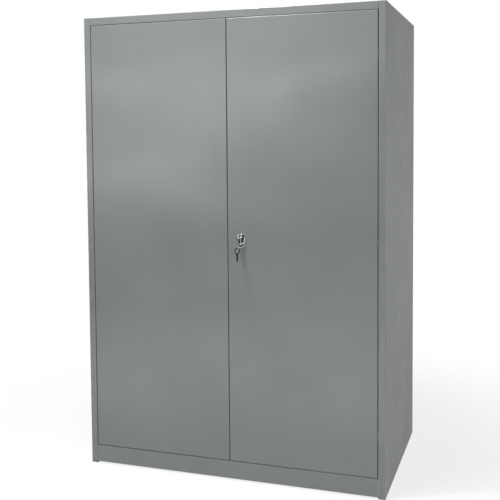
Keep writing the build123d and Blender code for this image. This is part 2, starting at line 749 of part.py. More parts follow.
def make_cam_pins():
    """Headed pins on the cam, one in the cross slot of each rod."""
    places = (
        (LOCK_X - PIN_OFFSET, LOCK_Z - PIN_OFFSET),
        (LOCK_X + PIN_OFFSET, LOCK_Z + PIN_OFFSET),
    )
    with BuildPart() as cam_pins:
        with BuildSketch(facing(CAM_REAR)):
            with Locations(*places):
                Circle(ROD_PIN_RADIUS)
        extrude(amount=-(ROD_REAR + ROD_GAP - CAM_REAR))
        with BuildSketch(facing(ROD_REAR + ROD_GAP)):
            with Locations(*places):
                Circle(ROD_PIN_HEAD_RADIUS)
        extrude(amount=-ROD_PIN_HEAD)
    return cam_pins.part


def make_cam_washer():
    """Washer under the cam screw."""
    with BuildPart() as cam_washer:
        with BuildSketch(facing(CAM_REAR)):
            with Locations((LOCK_X, LOCK_Z)):
                Circle(WASHER_RADIUS)
                Circle(SCREW_RADIUS + PIN_FIT, mode=Mode.SUBTRACT)
        extrude(amount=-WASHER_THICKNESS)
    return cam_washer.part


def make_cam_screw():
    """Screw that holds the cam on the spindle."""
    seat = CAM_REAR + WASHER_THICKNESS
    with BuildPart() as cam_screw:
        with BuildSketch(facing(seat)):
            with Locations((LOCK_X, LOCK_Z)):
                Circle(SCREW_HEAD_RADIUS)
        extrude(amount=-SCREW_RADIUS)
        fillet(cam_screw.faces().sort_by(Axis.Y)[-1].edges(), SCREW_RADIUS * 0.4)
        with BuildSketch(facing(seat)):
            with Locations((LOCK_X, LOCK_Z)):
                Circle(SCREW_RADIUS)
        extrude(amount=SCREW_LENGTH)
    return cam_screw.part


def make_rod(x_middle, pin_z, tip_z):
    """Flat locking rod from the cross slot at its pin to its tapered tip."""
    direction = 1 if tip_z > pin_z else -1
    start = pin_z - direction * ROD_END
    shoulder = tip_z - direction * ROD_WIDTH
    half = ROD_WIDTH / 2
    with BuildPart() as rod:
        with BuildSketch(facing(ROD_REAR)):
            with BuildLine():
                Polyline(
                    (x_middle - half, start),
                    (x_middle - half, shoulder),
                    (x_middle - half + ROD_TIP_TAPER, tip_z),
                    (x_middle + half - ROD_TIP_TAPER, tip_z),
                    (x_middle + half, shoulder),
                    (x_middle + half, start),
                    close=True,
                )
            make_face()
            with Locations((x_middle, pin_z)):
                SlotOverall(ROD_SLOT_WIDTH, ROD_SLOT_HEIGHT, mode=Mode.SUBTRACT)
        extrude(amount=ROD_THICKNESS)
    return rod.part


def make_rod_guides():
    """Staple guides that hold both rods against the channel."""
    inside = ROD_WIDTH / 2 + GUIDE_PLAY
    outside = inside + GUIDE_THICKNESS
    foot = DOOR_REAR + GUIDE_THICKNESS
    crown = ROD_REAR + GUIDE_PLAY + GUIDE_THICKNESS
    places = (
        (UPPER_ROD_X, LOCK_Z + GUIDE_NEAR),
        (UPPER_ROD_X, DOOR_TOP - GUIDE_END),
        (LOWER_ROD_X, LOCK_Z - GUIDE_NEAR),
        (LOWER_ROD_X, DOOR_BOTTOM + GUIDE_END),
    )
    with BuildPart() as rod_guides:
        for x_middle, z_middle in places:
            section = folded(
                Plane.XY.offset(z_middle - GUIDE_HEIGHT / 2),
                [
                    (x_middle - outside - GUIDE_FOOT, foot),
                    (x_middle - outside, foot),
                    (x_middle - outside, crown),
                    (x_middle + outside, crown),
                    (x_middle + outside, foot),
                    (x_middle + outside + GUIDE_FOOT, foot),
                ],
                Side.RIGHT,
                thickness=GUIDE_THICKNESS,
            )
            extrude(section, amount=GUIDE_HEIGHT)
    return rod_guides.part


def make_lock_plug():
    """Plug of the key cylinder, with its keyway."""
    with BuildPart() as lock_plug:
        with BuildSketch(facing(FRONT - KNOB_REACH)):
            with Locations((LOCK_X, LOCK_Z)):
                Circle(PLUG_RADIUS)
                Rectangle(KEYWAY_WIDTH, KEYWAY_HEIGHT, mode=Mode.SUBTRACT)
        extrude(amount=-PLUG_LENGTH)
    return lock_plug.part


def make_key(plane):
    """Flat key: an open bow at the plane's origin and a cut blade along the plane's x."""
    blade_end = BOW_RADIUS + BLADE_LENGTH
    blade_start = BOW_HOLE_RADIUS + 1
    with BuildPart() as key:
        with BuildSketch(plane):
            Circle(BOW_RADIUS)
            with Locations(((blade_start + blade_end) / 2, 0)):
                RectangleRounded(blade_end - blade_start, BLADE_WIDTH, radius=1)
            Circle(BOW_HOLE_RADIUS, mode=Mode.SUBTRACT)
            for cut, depth in enumerate(BITTING):
                place = blade_end - BITTING_PITCH * (cut + 1)
                with Locations((place, -BLADE_WIDTH / 2)):
                    Rectangle(2 * depth, 2 * depth, rotation=45, mode=Mode.SUBTRACT)
        extrude(amount=KEY_THICKNESS / 2, both=True)
    return key.part


def make_key_ring():
    """Wire ring through the bows of both keys."""
    normal = (sin(radians(RING_TURN)), cos(radians(RING_TURN)), 0)
    with BuildPart() as key_ring:
        with Locations(Plane((LOCK_X, BOW_Y, RING_Z), z_dir=normal)):
            Torus(RING_RADIUS, RING_WIRE)
    return key_ring.part


def main():
    """Builds every piece and writes one STEP file for each node."""
    os.makedirs("parts", exist_ok=True)

    for name, piece in {
        "side_panel": make_side_panel(),
        "base_runner": make_base_runner(),
        "hinge_leaves": make_hinge_leaves(),
        "hinge_rivets": make_hinge_rivets(),
        "hinge_brackets": make_hinge_brackets(),
        "hinge_pins": make_hinge_pins(),
    }.items():
        keep(piece, f"{name}_right")
        keep_mirrored(piece, f"{name}_left")
    for place, y_middle in UPRIGHT_PLACES.items():
        upright = make_upright(y_middle)
        keep(upright, f"upright_{place}_right")
        keep_mirrored(upright, f"upright_{place}_left")

    keep(make_top_panel(), "top_panel")
    keep(make_kick_plate(), "kick_plate")
    keep(make_back_panel(), "back_panel")
    keep(make_deck(), "deck")
    keep(make_deck_support(), "deck_support")
    for number, support in enumerate(SHELF_SUPPORTS, start=1):
        keep(make_shelf(support), f"shelf_{number}")
    keep(make_shelf_ribs(), "shelf_ribs")
    keep(make_shelf_clips(), "shelf_clips")
    keep(make_door_buffers(), "door_buffers")

    door = make_door()
    keep(make_lock_door(door), "door_right")
    keep_mirrored(door, "door_left")
    channel = make_door_channel()
    keep(make_lock_channel(channel), "door_channel_right")
    keep_mirrored(channel, "door_channel_left")
    keep(make_latch_strike(), "latch_strike")

    keep(make_lock_housing(), "lock_housing")
    keep(make_lock_nut(), "lock_nut")
    keep(make_spindle_bush(), "spindle_bush")
    keep(make_lock_handle(), "lock_handle")
    keep(make_latch_cam(), "latch_cam")
    keep(make_cam_pins(), "cam_pins")
    keep(make_cam_washer(), "cam_washer")
    keep(make_cam_screw(), "cam_screw")
    keep(make_rod_guides(), "rod_guides")
    upper_tip = HEADER_BOTTOM - STOP_LIP - ROD_TIP_CLEARANCE
    lower_tip = KICK_TOP + STOP_LIP + ROD_TIP_CLEARANCE
    keep(make_rod(UPPER_ROD_X, LOCK_Z - PIN_OFFSET, upper_tip), "rod_upper")
    keep(make_rod(LOWER_ROD_X, LOCK_Z + PIN_OFFSET, lower_tip), "rod_lower")

    keep(make_lock_plug(), "lock_plug")
    keep(make_key(Plane((LOCK_X, BOW_Y, LOCK_Z), x_dir=(0, 1, 0), z_dir=(1, 0, 0))), "key")
    keep(make_key_ring(), "key_ring")
    spare_normal = (cos(radians(RING_TURN)), -sin(radians(RING_TURN)), 0)
    spare_bow = (LOCK_X, BOW_Y, SPARE_PIVOT_Z - SPARE_HANG)
    keep(make_key(Plane(spare_bow, x_dir=(0, 0, -1), z_dir=spare_normal)), "spare_key")


main()
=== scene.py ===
"""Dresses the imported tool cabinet: finishes for every piece, a plain studio and the camera."""
import logging
import math
from collections.abc import Iterable, Mapping
from dataclasses import dataclass
from enum import Enum
from typing import Any

import bpy
from mathutils import Matrix, Vector

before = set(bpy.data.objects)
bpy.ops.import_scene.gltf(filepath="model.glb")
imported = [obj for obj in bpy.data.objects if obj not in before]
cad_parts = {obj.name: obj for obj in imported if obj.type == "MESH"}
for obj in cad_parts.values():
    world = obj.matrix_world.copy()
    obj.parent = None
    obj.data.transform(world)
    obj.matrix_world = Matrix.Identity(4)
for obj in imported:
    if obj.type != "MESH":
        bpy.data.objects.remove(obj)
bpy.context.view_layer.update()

MM = 0.001
SMOOTH = {"interpolation_type": "SMOOTHSTEP"}

Point = tuple[float, float, float]
LinearColour = tuple[float, float, float, float]

log = logging.getLogger("tool_cabinet")


def linear(colour: str) -> LinearColour:
    """Turns an sRGB hex colour into a linear one.

    Args:
        colour: six hex digits after a hash.

    Returns:
        Linear red, green, blue and an alpha of 1.
    """
    channels = []
    for start in (1, 3, 5):
        value = int(colour[start : start + 2], 16) / 255
        channels.append(value / 12.92 if value <= 0.04045 else ((value + 0.055) / 1.055) ** 2.4)
    return (*channels, 1.0)


def tinted(colour: str, factors: Point) -> LinearColour:
    """Turns a colour to linear and makes its channels stronger or weaker.

    Args:
        colour: sRGB hex.
        factors: what red, green and blue are multiplied by.

    Returns:
        The linear colour with an alpha of 1.
    """
    return (*(channel * factor for channel, factor in zip(linear(colour), factors)), 1.0)


def add_node(
    tree: bpy.types.NodeTree,
    kind: str,
    settings: Mapping[str, Any] | None = None,
    links: Mapping[str | int, bpy.types.NodeSocket] | None = None,
) -> bpy.types.Node:
    """Adds one shader node.

    Args:
        tree: the node tree that gets it.
        kind: Blender's name for the node, without its ShaderNode prefix.
        settings: values by name, each a property of the node or else an input socket.
        links: output sockets by the name or number of the input that takes them.

    Returns:
        The new node.
    """
    node = tree.nodes.new("ShaderNode" + kind)
    for name, value in (settings or {}).items():
        if hasattr(node, name):
            setattr(node, name, value)
        else:
            node.inputs[name].default_value = value
    for name, socket in (links or {}).items():
        tree.links.new(socket, node.inputs[name])
    return node


def per_metre(size_mm: float) -> float:
    """Texture scale at which one cell of a noise or Voronoi pattern is size_mm wide."""
    return 1.0 / (size_mm * MM)


@dataclass(frozen=True)
class Canvas:
    """What a finish draws its pattern on.

    Attributes:
        tree: the node tree of the new material.
        surface: its Principled surface.
        place: coordinates on the cabinet, in metres.
        eased: the surface normal, with sharp edges eased.
    """

    tree: bpy.types.NodeTree
    surface: bpy.types.Node
    place: bpy.types.NodeSocket
    eased: bpy.types.NodeSocket

    def feed(self, name: str, socket: bpy.types.NodeSocket) -> None:
        """Lets a pattern drive the named input of the surface."""
        self.tree.links.new(socket, self.surface.inputs[name])


@dataclass(frozen=True)
class Finish:
    """A surface as its maker would name it.

    Attributes:
        name: material name.
        colour: sRGB hex of the clean surface.
        roughness: of the clean surface.
        edge_mm: radius to which sharp edges are eased for the light.
    """

    name: str
    colour: str
    roughness: float
    edge_mm: float = 0.4

    def shade(self, on: Canvas) -> None:
        """Draws the pattern of this finish; each kind of finish has its own."""
        raise NotImplementedError

    def material(self) -> bpy.types.Material:
        """Builds the material.

        Returns:
            A material with one Principled surface, patterned in object space.
        """
        if self.name in bpy.data.materials:
            return bpy.data.materials[self.name]
        made = bpy.data.materials.new(self.name)
        made.use_nodes = True
        tree = made.node_tree
        tree.nodes.clear()
        surface = add_node(tree, "BsdfPrincipled",
                           {"Base Color": linear(self.colour), "Roughness": self.roughness})
        add_node(tree, "OutputMaterial", links={"Surface": surface.outputs[0]})
        place = add_node(tree, "TexCoord").outputs["Object"]
        eased = add_node(tree, "Bevel", {"samples": 4, "Radius": self.edge_mm * MM}).outputs[0]
        self.shade(Canvas(tree, surface, place, eased))
        return made


@dataclass(frozen=True)
class PowderCoat(Finish):
    """Polyester powder coat baked on sheet steel.

    It gives the eye a soft sheen, a very fine orange peel, and broad slow waves where the thin
    sheet isn't quite flat, which bend the reflections.

    Attributes:
        worn: sRGB hex where the coat is thin.
        worn_share: how much of that colour a fold shows.
        fold_cosines: cosine of the angle that a fold turns by, where it starts to look worn and
            where it is fully worn.
        patch_mm: width of the slow patches of tone.
        patch_tones: their darkest and lightest, as shares of the colour.
        patch_limits: the noise values at which they reach those tones.
        handled_mm: width of the patches that handling has polished or dulled.
        handled_by: how far their roughness goes either way.
        wave_mm: length of the sheet's waves.
        wave_stretch: how much of that length counts along x, y and z.
        bulge_mm: height of the waves.
        peel_mm: width of the orange peel's cells, about 1 mm on real paint; they are drawn a
            little coarser so that they show.
        peel_depth_mm: depth of the orange peel.
    """

    worn: str = "#9DA19F"
    worn_share: float = 0.35
    fold_cosines: tuple[float, float] = (0.96, 0.75)
    patch_mm: float = 260.0
    patch_tones: tuple[float, float] = (0.955, 1.045)
    patch_limits: tuple[float, float] = (0.3, 0.7)
    handled_mm: float = 90.0
    handled_by: float = 0.05
    wave_mm: float = 300.0
    wave_stretch: Point = (0.5, 1.0, 1.0)
    bulge_mm: float = 14.0
    peel_mm: float = 1.6
    peel_depth_mm: float = 0.03

    def shade(self, on: Canvas) -> None:
        """Draws the paint's tone, its gloss and its relief.

        Args:
            on: the nodes of the new material.
        """
        self.shade_tone(on)
        self.shade_gloss(on)
        self.shade_relief(on)

    def shade_tone(self, on: Canvas) -> None:
        """Draws slow patches, and thin paint on the folds.

        Args:
            on: the nodes of the new material.
        """
        # the coat is a little thicker in places
        patches = add_node(on.tree, "TexNoise", {"Scale": per_metre(self.patch_mm), "Detail": 3.0},
                           {"Vector": on.place})
        tint = add_node(on.tree, "ValToRGB", links={"Fac": patches.outputs[0]})
        stops = zip(tint.color_ramp.elements, self.patch_tones, self.patch_limits)
        for stop, factor, limit in stops:
            stop.color = tinted(self.colour, (factor, factor, factor))
            stop.position = limit
        # the coat draws thin over a fold, so the edge is a touch lighter
        geometry = add_node(on.tree, "NewGeometry")
        turn = add_node(on.tree, "VectorMath", {"operation": "DOT_PRODUCT"},
                        {0: on.eased, 1: geometry.outputs["Normal"]})
        start, end = self.fold_cosines
        thin = add_node(on.tree, "MapRange", {"From Min": start, "From Max": end, "To Min": 0.0,
                                              "To Max": self.worn_share},
                        {"Value": turn.outputs["Value"]})
        body = add_node(on.tree, "Mix", {"data_type": "RGBA"},
                        {"Factor": thin.outputs[0], 6: tint.outputs[0]})
        body.inputs[7].default_value = linear(self.worn)
        on.feed("Base Color", body.outputs[2])

    def shade_gloss(self, on: Canvas) -> None:
        """Draws patches a hand wide, which handling has polished or dulled.

        Args:
            on: the nodes of the new material.
        """
        handled = add_node(on.tree, "TexNoise", {"Scale": per_metre(self.handled_mm), "Detail": 4.0},
                           {"Vector": on.place})
        gloss = add_node(on.tree, "MapRange", {"To Min": self.roughness - self.handled_by,
                                               "To Max": self.roughness + self.handled_by},
                         {"Value": handled.outputs[0]})
        on.feed("Roughness", gloss.outputs[0])

    def shade_relief(self, on: Canvas) -> None:
        """Draws the waves of the sheet and the orange peel of the coat.

        Args:
            on: the nodes of the new material.
        """
        across = add_node(on.tree, "Mapping", {"Scale": self.wave_stretch}, {"Vector": on.place})
        waves = add_node(on.tree, "TexNoise", {"Scale": per_metre(self.wave_mm), "Detail": 0.0},
                         {"Vector": across.outputs[0]})
        broad = add_node(on.tree, "Bump", {"Strength": 1.0, "Distance": self.bulge_mm * MM},
                         {"Height": waves.outputs[0], "Normal": on.eased})
        peel = add_node(on.tree, "TexNoise", {"Scale": per_metre(self.peel_mm), "Detail": 2.0},
                        {"Vector": on.place})
        fine = add_node(on.tree, "Bump", {"Strength": 0.35, "Distance": self.peel_depth_mm * MM},
                        {"Height": peel.outputs[0], "Normal": broad.outputs[0]})
        on.feed("Normal", fine.outputs[0])


@dataclass(frozen=True)
class GalvanisedSheet(Finish):
    """Hot-dip galvanised sheet: a dull silver skin with spangle, flat zinc crystals.

    Attributes:
        spangle_mm: width of a crystal.
        spangle_tones: the darkest and lightest crystal, as shares of the colour.
        spangle_gloss: how much smoother and rougher than the rest a crystal is.
        haze_mm: grain of the fine haze over the crystals.
        haze_depth_mm: its depth.
    """

    spangle_mm: float = 11.0
    spangle_tones: tuple[float, float] = (0.86, 1.08)
    spangle_gloss: tuple[float, float] = (0.08, 0.1)
    haze_mm: float = 2.5
    haze_depth_mm: float = 0.03

    def shade(self, on: Canvas) -> None:
        """Draws crystals that differ in tone and gloss, and a faint haze.

        Args:
            on: the nodes of the new material.
        """
        on.surface.inputs["Metallic"].default_value = 1.0
        crystals = add_node(on.tree, "TexVoronoi", {"Scale": per_metre(self.spangle_mm)},
                            {"Vector": on.place})
        tone = add_node(on.tree, "SeparateColor", links={"Color": crystals.outputs["Color"]})
        tint = add_node(on.tree, "ValToRGB", links={"Fac": tone.outputs[0]})
        for stop, factor in zip(tint.color_ramp.elements, self.spangle_tones):
            stop.color = tinted(self.colour, (factor, factor, factor))
        on.feed("Base Color", tint.outputs[0])
        smoother, rougher = self.spangle_gloss
        gloss = add_node(on.tree, "MapRange", {"To Min": self.roughness - smoother,
                                               "To Max": self.roughness + rougher},
                         {"Value": tone.outputs[1]})
        on.feed("Roughness", gloss.outputs[0])
        haze = add_node(on.tree, "TexNoise", {"Scale": per_metre(self.haze_mm), "Detail": 3.0},
                        {"Vector": on.place})
        skin = add_node(on.tree, "Bump", {"Strength": 0.3, "Distance": self.haze_depth_mm * MM},
                        {"Height": haze.outputs[0], "Normal": on.eased})
        on.feed("Normal", skin.outputs[0])


@dataclass(frozen=True)
class ZincPlate(Finish):
    """Bright zinc electroplate on rolled or pressed steel, with the grain of the strip under it.

    Attributes:
        cloud_mm: width of the clouds of the passivation.
        warm: what a warm cloud does to red, green and blue.
        cool: what a cool cloud does to them.
        grain_mm: width of the rolling lines.
        grain_stretch: how much of that width counts along x, y and z.
        grain_gloss: how much smoother and rougher than the rest a line is.
        grain_depth_mm: depth of the lines.
    """

    cloud_mm: float = 24.0
    warm: Point = (1.02, 1.0, 0.93)
    cool: Point = (0.95, 0.98, 1.02)
    grain_mm: float = 0.8
    grain_stretch: Point = (1.0, 1.0, 0.05)
    grain_gloss: tuple[float, float] = (0.08, 0.12)
    grain_depth_mm: float = 0.02

    def shade(self, on: Canvas) -> None:
        """Draws the rolling grain and the faint warm and cool clouds of the passivation.

        Args:
            on: the nodes of the new material.
        """
        on.surface.inputs["Metallic"].default_value = 1.0
        clouds = add_node(on.tree, "TexNoise", {"Scale": per_metre(self.cloud_mm), "Detail": 2.0},
                          {"Vector": on.place})
        tint = add_node(on.tree, "ValToRGB", links={"Fac": clouds.outputs[0]})
        for stop, factors in zip(tint.color_ramp.elements, (self.warm, self.cool)):
            stop.color = tinted(self.colour, factors)
        on.feed("Base Color", tint.outputs[0])
        along = add_node(on.tree, "Mapping", {"Scale": self.grain_stretch}, {"Vector": on.place})
        lines = add_node(on.tree, "TexNoise", {"Scale": per_metre(self.grain_mm), "Detail": 3.0},
                         {"Vector": along.outputs[0]})
        smoother, rougher = self.grain_gloss
        gloss = add_node(on.tree, "MapRange", {"To Min": self.roughness - smoother,
                                               "To Max": self.roughness + rougher},
                         {"Value": lines.outputs[0]})
        on.feed("Roughness", gloss.outputs[0])
        rolled = add_node(on.tree, "Bump", {"Strength": 0.25, "Distance": self.grain_depth_mm * MM},
                          {"Height": lines.outputs[0], "Normal": on.eased})
        on.feed("Normal", rolled.outputs[0])


@dataclass(frozen=True)
class ChromePlate(Finish):
    """Decorative chrome on zinc die castings and wire: mirror-like, with soft edges.

    Attributes:
        smear_mm: width of the finger smears.
        smear_limits: the noise values at which a smear starts and is full.
        smear_gloss: how much rougher it is than the clean chrome.
        ripple_mm: length of the ripple that polishing leaves.
        ripple_depth_mm: its depth.
    """

    smear_mm: float = 9.0
    smear_limits: tuple[float, float] = (0.35, 0.75)
    smear_gloss: float = 0.14
    ripple_mm: float = 4.0
    ripple_depth_mm: float = 0.05

    def shade(self, on: Canvas) -> None:
        """Draws finger smears in the gloss and the faint ripple of polishing.

        Args:
            on: the nodes of the new material.
        """
        on.surface.inputs["Metallic"].default_value = 1.0
        smears = add_node(on.tree, "TexNoise", {"Scale": per_metre(self.smear_mm), "Detail": 4.0},
                          {"Vector": on.place})
        start, full = self.smear_limits
        gloss = add_node(on.tree, "MapRange", {"From Min": start, "From Max": full,
                                               "To Min": self.roughness,
                                               "To Max": self.roughness + self.smear_gloss},
                         {"Value": smears.outputs[0]})
        on.feed("Roughness", gloss.outputs[0])
        ripple = add_node(on.tree, "TexNoise", {"Scale": per_metre(self.ripple_mm), "Detail": 1.0},
                          {"Vector": on.place})
        polished = add_node(on.tree, "Bump",
                            {"Strength": 0.2, "Distance": self.ripple_depth_mm * MM},
                            {"Height": ripple.outputs[0], "Normal": on.eased})
        on.feed("Normal", polished.outputs[0])


@dataclass(frozen=True)
class TumbledNickel(Finish):
    """Bright nickel on stamped key blanks, tumbled in bulk: a softer mirror, dented and scratched.

    Attributes:
        dent_mm: width of the shallow dents.
        dent_depth_mm: their depth.
        scratch_mm: length of the short scratches.
        scratch_depth_mm: their depth.
        scratch_gloss: how much smoother and rougher than the rest the scratched skin is.
    """

    dent_mm: float = 5.0
    dent_depth_mm: float = 0.3
    scratch_mm: float = 0.6
    scratch_depth_mm: float = 0.02
    scratch_gloss: tuple[float, float] = (0.06, 0.1)

    def shade(self, on: Canvas) -> None:
        """Draws the shallow dents, the short scratches and the uneven gloss of tumbling.

        Args:
            on: the nodes of the new material.
        """
        on.surface.inputs["Metallic"].default_value = 1.0
        dents = add_node(on.tree, "TexNoise", {"Scale": per_metre(self.dent_mm), "Detail": 1.0},
                         {"Vector": on.place})
        dented = add_node(on.tree, "Bump", {"Strength": 0.6, "Distance": self.dent_depth_mm * MM},
                          {"Height": dents.outputs[0], "Normal": on.eased})
        scratches = add_node(on.tree, "TexNoise",
                             {"Scale": per_metre(self.scratch_mm), "Detail": 3.0},
                             {"Vector": on.place})
        smoother, rougher = self.scratch_gloss
        gloss = add_node(on.tree, "MapRange", {"To Min": self.roughness - smoother,
                                               "To Max": self.roughness + rougher},
                         {"Value": scratches.outputs[0]})
        on.feed("Roughness", gloss.outputs[0])
        scratched = add_node(on.tree, "Bump",
                             {"Strength": 0.3, "Distance": self.scratch_depth_mm * MM},
                             {"Height": scratches.outputs[0], "Normal": dented.outputs[0]})
        on.feed("Normal", scratched.outputs[0])


@dataclass(frozen=True)
class NickelledBrass(Finish):
    """Nickel wash over turned brass: a pale metal with yellower spots, where the brass shows.

    Attributes:
        brass: sRGB hex of the bare brass.
        rubbed_mm: width of the rubbed spots.
        rubbed_limits: the noise values at which a spot starts and is bare.
        turned_mm: spacing of the turning marks.
        turned_depth_mm: their depth.
    """

    brass: str = "#A08C62"
    rubbed_mm: float = 3.0
    rubbed_limits: tuple[float, float] = (0.45, 0.75)
    turned_mm: float = 0.5
    turned_depth_mm: float = 0.02

    def shade(self, on: Canvas) -> None:
        """Draws worn places where the brass shows, and the fine turning marks.

        Args:
            on: the nodes of the new material.
        """
        on.surface.inputs["Metallic"].default_value = 1.0
        rubbed = add_node(on.tree, "TexNoise", {"Scale": per_metre(self.rubbed_mm), "Detail": 4.0},
                          {"Vector": on.place})
        start, bare = self.rubbed_limits
        amount = add_node(on.tree, "MapRange", {"From Min": start, "From Max": bare},
                          {"Value": rubbed.outputs[0]})
        metal = add_node(on.tree, "Mix", {"data_type": "RGBA"}, {"Factor": amount.outputs[0]})
        metal.inputs[6].default_value = linear(self.colour)
        metal.inputs[7].default_value = linear(self.brass)
        on.feed("Base Color", metal.outputs[2])
        turned = add_node(on.tree, "TexNoise", {"Scale": per_metre(self.turned_mm), "Detail": 2.0},
                          {"Vector": on.place})
        marks = add_node(on.tree, "Bump",
                         {"Strength": 0.25, "Distance": self.turned_depth_mm * MM},
                         {"Height": turned.outputs[0], "Normal": on.eased})
        on.feed("Normal", marks.outputs[0])


@dataclass(frozen=True)
class MouldedNylon(Finish):
    """Injection-moulded natural nylon: milky, a little translucent, with a spark-eroded skin.

    Attributes:
        aged: sRGB hex where it has yellowed.
        aged_mm: width of the yellowed patches.
        depth_share: how much of the light passes below the skin.
        depth_mm: how far red, green and blue travel there.
        skin_mm: grain of the skin.
        skin_depth_mm: its depth.
    """

    aged: str = "#D9D2BC"
    aged_mm: float = 12.0
    depth_share: float = 0.15
    depth_mm: Point = (1.5, 1.2, 1.0)
    skin_mm: float = 0.4
    skin_depth_mm: float = 0.02

    def shade(self, on: Canvas) -> None:
        """Draws a fine matt skin and slight yellowing.

        Args:
            on: the nodes of the new material.
        """
        on.surface.inputs["Subsurface Weight"].default_value = self.depth_share
        on.surface.inputs["Subsurface Radius"].default_value = [depth * MM for depth in self.depth_mm]
        ageing = add_node(on.tree, "TexNoise", {"Scale": per_metre(self.aged_mm), "Detail": 2.0},
                          {"Vector": on.place})
        tint = add_node(on.tree, "ValToRGB", links={"Fac": ageing.outputs[0]})
        for stop, colour in zip(tint.color_ramp.elements, (self.colour, self.aged)):
            stop.color = linear(colour)
        on.feed("Base Color", tint.outputs[0])
        grain = add_node(on.tree, "TexNoise", {"Scale": per_metre(self.skin_mm), "Detail": 1.0},
                         {"Vector": on.place})
        skin = add_node(on.tree, "Bump", {"Strength": 0.3, "Distance": self.skin_depth_mm * MM},
                        {"Height": grain.outputs[0], "Normal": on.eased})
        on.feed("Normal", skin.outputs[0])


@dataclass(frozen=True)
class BufferRubber(Finish):
    """Die-cut black rubber with a dusty bloom, quite matt.

    Attributes:
        bloomed: sRGB hex of the bloom.
        bloom_mm: width of its clouds and grain.
        grain_depth_mm: depth of the grain.
    """

    bloomed: str = "#3A3A3A"
    bloom_mm: float = 3.0
    grain_depth_mm: float = 0.04

    def shade(self, on: Canvas) -> None:
        """Draws the grey bloom and a fine matt grain.

        Args:
            on: the nodes of the new material.
        """
        bloom = add_node(on.tree, "TexNoise", {"Scale": per_metre(self.bloom_mm), "Detail": 5.0},
                         {"Vector": on.place})
        tint = add_node(on.tree, "ValToRGB", links={"Fac": bloom.outputs[0]})
        for stop, colour in zip(tint.color_ramp.elements, (self.colour, self.bloomed)):
            stop.color = linear(colour)
        on.feed("Base Color", tint.outputs[0])
        grain = add_node(on.tree, "Bump", {"Strength": 0.4, "Distance": self.grain_depth_mm * MM},
                         {"Height": bloom.outputs[0], "Normal": on.eased})
        on.feed("Normal", grain.outputs[0])


class Surface(Enum):
    """The finishes on this cabinet."""

    SHEET = PowderCoat("powder_coat_grey", "#7C807F", 0.235)
    GALVANISED = GalvanisedSheet("galvanised_sheet", "#B4B9BC", 0.42)
    PLATED = ZincPlate("zinc_plated_steel", "#C6C9CB", 0.28)
    CHROME = ChromePlate("chrome_plate", "#C6CACC", 0.07, edge_mm=0.3)
    KEY = TumbledNickel("tumbled_nickel", "#B4B3AD", 0.12, edge_mm=0.25)
    PLUG = NickelledBrass("nickelled_brass", "#B5B1A6", 0.24, edge_mm=0.2)
    NYLON = MouldedNylon("moulded_nylon", "#E6E3D8", 0.45)
    RUBBER = BufferRubber("buffer_rubber", "#1B1B1B", 0.8)


def dress(nodes: Iterable[str], surface: Surface) -> None:
    """Gives CAD nodes a finish.

    Args:
        nodes: names of the nodes.
        surface: the finish that they get.
    """
    for name in nodes:
        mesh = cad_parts[name].data
        mesh.materials.clear()
        mesh.materials.append(surface.value.material())
        log.info("%s: %s", name, surface.name.lower())


def both_sides(*names: str) -> tuple[str, ...]:
    """Names of pieces that the cabinet has on its left and on its right."""
    return tuple(f"{name}_{side}" for name in names for side in ("left", "right"))


@dataclass
class Carcass:
    """The folded body of the cabinet.

    Attributes:
        painted: panels with the grey coat.
        galvanised: bare pieces of the base.
        buffers: pads that the doors close on.
    """

    painted: tuple[str, ...] = (
        *both_sides("side_panel"), "top_panel", "kick_plate", "back_panel", "deck",
    )
    galvanised: tuple[str, ...] = ("deck_support", *both_sides("base_runner"))
    buffers: tuple[str, ...] = ("door_buffers",)

    def build(self) -> None:
        """Dresses the folded panels and the base."""
        dress(self.painted, Surface.SHEET)
        dress(self.galvanised, Surface.GALVANISED)
        dress(self.buffers, Surface.RUBBER)


@dataclass
class Shelving:
    """Shelves, their ribs, the slotted uprights and the clips.

    Attributes:
        shelves: shelves and the ribs under them.
        uprights: slotted posts at the four corners.
        clips: clips that carry the shelves.
    """

    shelves: tuple[str, ...] = ("shelf_1", "shelf_2", "shelf_3", "shelf_4", "shelf_ribs")
    uprights: tuple[str, ...] = both_sides("upright_front", "upright_rear")
    clips: tuple[str, ...] = ("shelf_clips",)

    def build(self) -> None:
        """Dresses the shelves and what carries them."""
        dress(self.shelves, Surface.SHEET)
        dress(self.uprights, Surface.GALVANISED)
        dress(self.clips, Surface.PLATED)


@dataclass
class Doors:
    """Both doors with their channels, hinges and the strike.

    Attributes:
        painted: door sheets and the channels behind them.
        hardware: hinges, and the strike that the cam catches.
    """

    painted: tuple[str, ...] = both_sides("door", "door_channel")
    hardware: tuple[str, ...] = (
        *both_sides("hinge_leaves", "hinge_rivets", "hinge_brackets", "hinge_pins"),
        "latch_strike",
    )

    def build(self) -> None:
        """Dresses the doors and the hinges."""
        dress(self.painted, Surface.SHEET)
        dress(self.hardware, Surface.PLATED)


@dataclass
class DoorLock:
    """The lock on the right door: knob, cam, rods, guides and keys.

    Attributes:
        chromed: plate, knob and key ring.
        keys: the key in the knob and the one that hangs from it.
        plated: nut, cam, rods and guides behind the door.
        plug: the turning core of the lock.
        bush: the bearing of the knob's spindle.
    """

    chromed: tuple[str, ...] = ("lock_housing", "lock_handle", "key_ring")
    keys: tuple[str, ...] = ("key", "spare_key")
    plated: tuple[str, ...] = (
        "lock_nut", "latch_cam", "cam_pins", "cam_washer", "cam_screw",
        "rod_upper", "rod_lower", "rod_guides",
    )
    plug: tuple[str, ...] = ("lock_plug",)
    bush: tuple[str, ...] = ("spindle_bush",)

    def build(self) -> None:
        """Dresses the lock."""
        dress(self.chromed, Surface.CHROME)
        dress(self.keys, Surface.KEY)
        dress(self.plated, Surface.PLATED)
        dress(self.plug, Surface.PLUG)
        dress(self.bush, Surface.NYLON)


